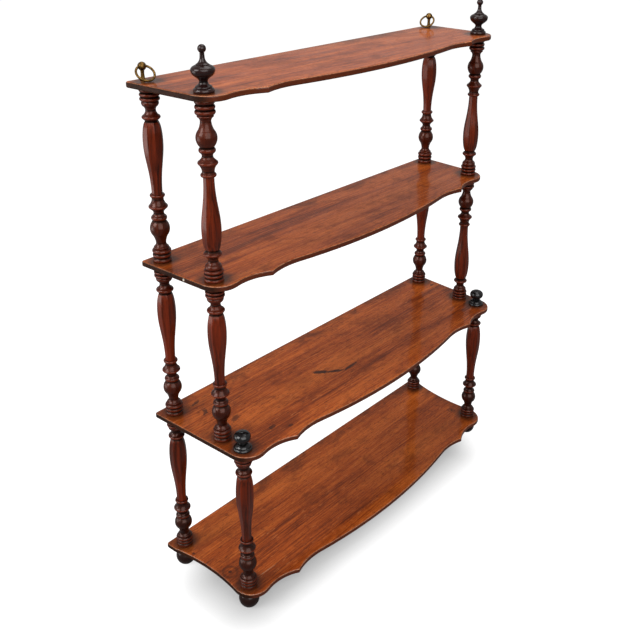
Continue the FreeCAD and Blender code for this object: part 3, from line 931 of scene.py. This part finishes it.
@dataclass
class Boards:
    """The four serpentine boards, which keep their CAD shape and get a finish each. Metres."""

    rear_line: float = 0.1095
    rear_post: tuple[float, float] = (0.4088, 0.1095)
    upper_post: tuple[float, float] = (0.399956, -0.0245)
    lower_post: tuple[float, float] = (0.396524, -0.0765)
    # Moves the grain from board to board
    grain_shift: float = 5.3
    marks: dict[Board, tuple[Mark, ...]] = field(default_factory=lambda: {
        Board.SECOND: (
            Mark(-104, -114, 40, 17, -40, 0.92), Mark(-78, -135, 48, 12, -32, 0.9),
            Mark(-42, -146, 62, 9, 3, 0.9), Mark(-360, -6, 34, 9, 20, 0.7, fray=2.4),
            Mark(-368, -44, 24, 12, 50, 0.75, fray=2.2),
            Mark(-340, -105, 28, 16, 20, 0.65, fray=2.0), Mark(-314, -179, 22, 12, 0, 0.7, fray=1.8),
            Mark(-285, -202, 14, 9, 0, 0.7, fray=2.0), Mark(410, -41, 14, 9, fray=2.0),
        ),
        Board.BOTTOM: (
            Mark(-400, -134, 36, 36, 0, 0.4, 0.8, 1.4), Mark(-400, -134, 10, 10, fray=0.6),
            Mark(384, -145, 22, 22, 0, 0.4, 0.7, 1.4), Mark(385, -145, 10, 10, fray=0.6),
            Mark(-418, -39, 8, 8, fray=0.6), Mark(-345, -187, 58, 2.4, -3, 0.5, fray=1.2, pale=True),
        ),
    })
    chips: dict[Board, tuple[Mark, ...]] = field(default_factory=lambda: {
        Board.THIRD: (Mark(-430, -86, 8, 5, strength=0.95, fray=0.4, z=704, height=6),),
    })

    def dress(self) -> list[bpy.types.Object]:
        """Give every board its own finish.

        Returns:
            The boards.
        """
        posts = {
            Board.BOTTOM: (self.rear_post, self.lower_post),
            Board.SECOND: (self.rear_post, self.upper_post, self.lower_post),
            Board.THIRD: (self.rear_post, self.upper_post),
            Board.TOP: (self.rear_post, self.upper_post),
        }
        dressed = []
        for number, board in enumerate(Board):
            finish = BoardFinish(
                board, posts[board], self.rear_line, self.grain_shift * number,
                self.marks.get(board, ()), self.chips.get(board, ()),
            )
            dressed.append(paint(f"shelf_{board.value}", finish.material()))
        return dressed


@dataclass
class Fittings:
    """The brass rings in their eyes, and the hidden dowels, which keep their CAD shape."""

    brass: BrassFinish = field(default_factory=BrassFinish)
    wood: DowelFinish = field(default_factory=DowelFinish)

    def dress(self) -> list[bpy.types.Object]:
        """Give the fittings their finishes.

        Returns:
            The fittings.
        """
        brass = self.brass.material()
        wood = self.wood.material()
        finishes: dict[str, bpy.types.Material] = {}
        for side in Side:
            finishes[f"ring_eye_{side.value}"] = brass
            finishes[f"hanging_ring_{side.value}"] = brass
            finishes[f"dowel_top_rear_{side.value}"] = wood
            for depth in Depth:
                finishes[f"dowel_second_{depth.value}_{side.value}"] = wood
                finishes[f"dowel_third_{depth.value}_{side.value}"] = wood
        return [paint(name, finish) for name, finish in finishes.items()]


def paint(name: str, material: bpy.types.Material) -> bpy.types.Object:
    """Give a CAD node a material in place of the plain one.

    Args:
        name: the node.
        material: its finish.

    Returns:
        The node.
    """
    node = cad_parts[name]
    node.data.materials.clear()
    node.data.materials.append(material)
    return node


@dataclass
class Softbox:
    """A studio lamp: its place, what it looks at, its size in metres and its power in watts."""

    name: str
    place: Point
    aim: Point
    width: float
    height: float
    power: float

    def build(self) -> None:
        """Hang the lamp."""
        data = bpy.data.lights.new(self.name, "AREA")
        data.shape = "RECTANGLE"
        data.size = self.width
        data.size_y = self.height
        data.energy = self.power
        lamp = bpy.data.objects.new(self.name, data)
        bpy.context.scene.collection.objects.link(lamp)
        lamp.location = self.place
        lamp.rotation_euler = (Vector(self.aim) - Vector(self.place)).to_track_quat("-Z", "Y").to_euler()


@dataclass
class Studio:
    """A pale floor without an end, soft light and the camera of the photograph."""

    # The camera's place and its three axes, solved from where the posts meet the boards; lens in millimetres
    eye: Point = (-1.23258, -1.03646, 1.33094)
    right: Point = (0.675, -0.73782, -0.00051)
    down: Point = (-0.28114, -0.25657, -0.92473)
    ahead: Point = (0.68215, 0.62434, -0.38062)
    sensor: float = 36.0
    focal_length: float = 46.363
    lens_drop: float = -0.1355
    # The floor's grey to the camera and as light on the shelf, and the oblong round the shelf where its glow
    # fades: a painted shadow laid over the shelf's real one
    floor_size: float = 24.0
    floor_grey: float = 0.3
    floor_bounce: float = 0.15
    shade_centre: Point = (-0.06, -0.03, 0.0)
    shade_half: Point = (0.33, 0.04, 1.0)
    shade_fades: Passage = (0.0, 0.15, 0.3, 1.0)
    # The world's light on the shelf, and how white floor and world are in a reflection
    ambient: float = 0.08
    mirrored_floor: float = 0.08
    mirrored_world: float = 0.4
    boxes: tuple[Softbox, ...] = (
        Softbox("key_softbox", (-1.6, -2.9, 2.5), (0.0, 0.0, 0.4), 3.8, 3.6, 134.0),
        Softbox("left_softbox", (-3.4, 1.1, 2.9), (0.0, 0.0, 0.55), 2.3, 2.3, 128.0),
        Softbox("top_softbox", (0.6, 0.2, 3.4), (0.3, 0.0, 0.4), 2.0, 2.0, 34.0),
        Softbox("left_card", (-2.0, 1.5, 0.35), (-0.2, 0.0, 0.6), 1.4, 1.2, 16.0),
    )

    def build(self) -> None:
        """Set up floor, world, lamps and camera."""
        scene = bpy.context.scene
        scene.view_settings.view_transform = "Standard"
        self.lay_floor()
        self.light_world()
        for box in self.boxes:
            box.build()
        data = bpy.data.cameras.new("photo_camera")
        data.sensor_width = self.sensor
        data.lens = self.focal_length
        data.shift_y = self.lens_drop
        data.dof.use_dof = False
        camera = bpy.data.objects.new("photo_camera", data)
        scene.collection.objects.link(camera)
        columns = (Vector(self.right), -Vector(self.down), -Vector(self.ahead))
        turn = Matrix(columns).transposed().to_4x4()
        camera.matrix_world = Matrix.Translation(self.eye) @ turn
        scene.camera = camera

    def lay_floor(self) -> None:
        """Lay the floor: white to the camera, but for a painted shadow round the shelf, where its glow fades
        and the real shade shows.
        """
        half = self.floor_size / 2
        mesh = bpy.data.meshes.new("floor")
        corners = [(-half, -half, 0), (half, -half, 0), (half, half, 0), (-half, half, 0)]
        mesh.from_pydata(corners, [], [(0, 1, 2, 3)])
        floor = bpy.data.objects.new("floor", mesh)
        bpy.context.scene.collection.objects.link(floor)
        material, tree, shader, place = begin("matt_white_paper_sweep")
        shader.inputs["Roughness"].default_value = 1.0
        shader.inputs["Specular IOR Level"].default_value = 0.0
        shader.inputs["Emission Color"].default_value = WHITE
        # How far a point lies outside the oblong of painted shadow under the shelf
        local = add(tree, VECTOR_MATH, [place, self.shade_centre], operation="SUBTRACT")
        folded = add(tree, VECTOR_MATH, [local], operation="ABSOLUTE")
        beyond = add(tree, VECTOR_MATH, [folded, self.shade_half], operation="SUBTRACT")
        beyond = add(tree, VECTOR_MATH, [beyond, (0.0, 0.0, 0.0)], operation="MAXIMUM")
        away = add(tree, VECTOR_MATH, [beyond], "Value", operation="LENGTH")
        level = add(tree, RANGE, [away, *self.shade_fades], **SMOOTH)
        seen = self.seen(tree, self.mirrored_floor)
        grey = add(tree, RANGE, [seen, 0.0, 1.0, self.floor_bounce, self.floor_grey])
        tree.links.new(grey, shader.inputs["Base Color"])
        # The glow drops in the oblong: a painted shadow
        glow = add(tree, MATH, [seen, level], operation="MULTIPLY")
        tree.links.new(glow, shader.inputs["Emission Strength"])
        mesh.materials.append(material)

    def seen(self, tree: Tree, strength: float) -> Socket:
        """How white the surroundings are to a ray.

        Args:
            tree: the tree of the floor or the world.
            strength: how white it is to a ray that is mirrored or seen through something.

        Returns:
            1 for the camera, the strength for what is mirrored, and 0 for light on the shelf.
        """
        rays = add(tree, "ShaderNodeLightPath").node.outputs
        other = add(tree, MATH, [rays["Is Glossy Ray"], rays["Is Transmission Ray"]], operation="MAXIMUM")
        mirrored = add(tree, MATH, [other, strength], operation="MULTIPLY")
        return add(tree, MATH, [rays["Is Camera Ray"], mirrored], operation="MAXIMUM")

    def light_world(self) -> None:
        """White to the camera, and an even grey light for the rest."""
        world = bpy.data.worlds.new("studio")
        bpy.context.scene.world = world
        world.use_nodes = True
        tree = world.node_tree
        level = add(tree, RANGE, [self.seen(tree, self.mirrored_world), 0.0, 1.0, self.ambient, 1.0])
        tree.links.new(level, tree.nodes["Background"].inputs["Strength"])
        tree.nodes["Background"].inputs["Color"].default_value = WHITE


def main() -> None:
    """Build the shelf's pieces in order and report each one."""
    logging.basicConfig(level=logging.INFO, format="%(name)s: %(message)s")
    for piece in [*TurnedWork().build(), *Boards().dress(), *Fittings().dress()]:
        log.info("%s: %d faces", piece.name, len(piece.data.polygons))
    Studio().build()


if __name__ == "__main__":
    main()
